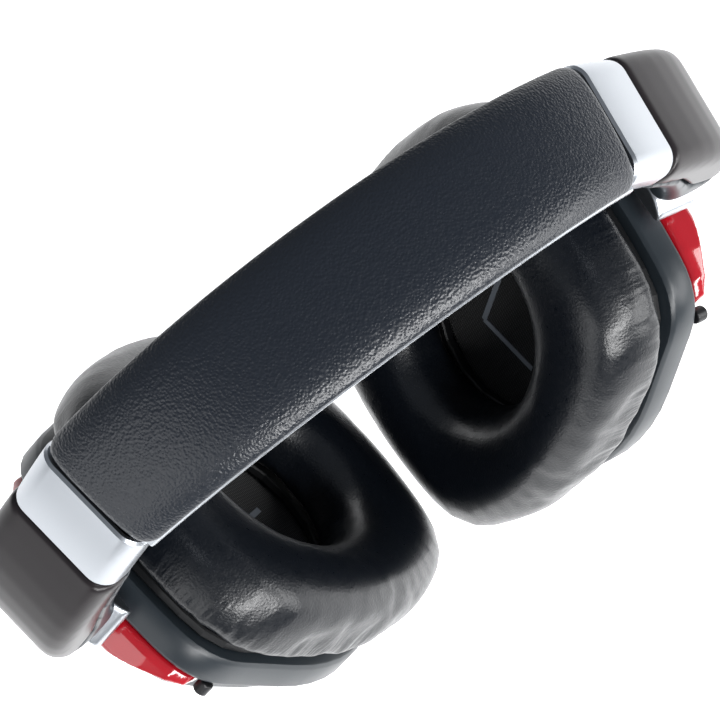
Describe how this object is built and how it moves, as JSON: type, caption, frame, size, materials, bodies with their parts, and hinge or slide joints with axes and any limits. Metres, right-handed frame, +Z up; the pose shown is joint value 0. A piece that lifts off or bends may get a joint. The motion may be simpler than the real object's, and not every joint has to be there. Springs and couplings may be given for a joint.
{
  "type": "over ear headphones",
  "caption": "Closed over-ear headphones: padded sprung headband, silver cuffs with sliders, tilt hinges and swivelling cups with soft ear pads, red crescent accents.",
  "frame": {"origin": "middle of the head cushion's underside, where it rests on the head", "axes": "+X to the wearer's left, +Y to the back of the head, +Z up"},
  "size_m": [0.1798, 0.0878, 0.1777],
  "materials": {
    "leather": "black grained leather",
    "satin_aluminium": "satin silver",
    "spring_steel": "bare spring steel",
    "grey_plastic": "satin warm grey",
    "slate_plastic": "satin dark slate",
    "black_plastic": "satin black",
    "red_gloss": "glossy red",
    "acoustic_cloth": "deep black cloth",
    "magnet_steel": "plated steel",
    "diaphragm_film": "thin grey film",
    "brass": "plated brass"
  },
  "bodies": {
    "headband": {"cuff_left": "satin_aluminium", "cuff_right": "satin_aluminium", "cuff_screw_front_left": "spring_steel", "cuff_screw_front_right": "spring_steel", "cuff_screw_rear_left": "spring_steel", "cuff_screw_rear_right": "spring_steel", "head_cushion": "leather", "headband_frame": "satin_aluminium", "slider_guide_left": "black_plastic", "slider_guide_right": "black_plastic", "spring_band": "spring_steel", "top_pad": "leather"},
    "left_slider": {"end_shell_inner_left": "slate_plastic", "end_shell_outer_left": "grey_plastic", "hinge_pin_left": "spring_steel", "slider_strip_left": "spring_steel"},
    "left_arm": {"arm_left": "satin_aluminium", "hinge_knuckle_left": "black_plastic", "swivel_pin_left": "spring_steel"},
    "left_cup": {"accent_cap_left": "red_gloss", "accent_nub_left": "black_plastic", "baffle_left": "black_plastic", "cable_socket_left": "brass", "cloth_screen_left": "acoustic_cloth", "diaphragm_left": "diaphragm_film", "driver_frame_left": "black_plastic", "ear_pad_left": "leather", "magnet_left": "magnet_steel", "outer_cover_left": "satin_aluminium", "pad_plate_left": "black_plastic", "rear_housing_left": "slate_plastic", "rim_left": "slate_plastic", "swivel_clip_left": "spring_steel", "swivel_washer_left": "black_plastic"},
    "right_slider": {"end_shell_inner_right": "slate_plastic", "end_shell_outer_right": "grey_plastic", "hinge_pin_right": "spring_steel", "slider_strip_right": "spring_steel"},
    "right_arm": {"arm_right": "satin_aluminium", "hinge_knuckle_right": "black_plastic", "swivel_pin_right": "spring_steel"},
    "right_cup": {"accent_cap_right": "red_gloss", "accent_nub_right": "black_plastic", "baffle_right": "black_plastic", "cloth_screen_right": "acoustic_cloth", "diaphragm_right": "diaphragm_film", "driver_frame_right": "black_plastic", "ear_pad_right": "leather", "magnet_right": "magnet_steel", "outer_cover_right": "satin_aluminium", "pad_plate_right": "black_plastic", "rear_housing_right": "slate_plastic", "rim_right": "slate_plastic", "swivel_clip_right": "spring_steel", "swivel_washer_right": "black_plastic"}
  },
  "joints": [
    {"name": "left_extension", "type": "slide", "parent": "headband", "child": "left_slider", "axis": [0.6754, -0.0949, -0.7314], "range_m": [0, 0.02]},
    {"name": "left_tilt", "type": "hinge", "parent": "left_slider", "child": "left_arm", "pos_m": [0.07984, -0.00223, -0.0555], "axis": [0.1392, 0.9903, 0], "range_deg": [-22, 0.5]},
    {"name": "left_swivel", "type": "hinge", "parent": "left_arm", "child": "left_cup", "pos_m": [0.07531, -0.00432, -0.07483], "axis": [0.4492, 0.0774, 0.89], "range_deg": [-15, 88]},
    {"name": "right_extension", "type": "slide", "parent": "headband", "child": "right_slider", "axis": [-0.6754, -0.0949, -0.7314], "range_m": [0, 0.02]},
    {"name": "right_tilt", "type": "hinge", "parent": "right_slider", "child": "right_arm", "pos_m": [-0.07984, -0.00223, -0.0555], "axis": [-0.1392, 0.9903, 0], "range_deg": [-0.5, 22]},
    {"name": "right_swivel", "type": "hinge", "parent": "right_arm", "child": "right_cup", "pos_m": [-0.07531, -0.00432, -0.07483], "axis": [-0.4492, 0.0774, 0.89], "range_deg": [-88, 15]}
  ]
}
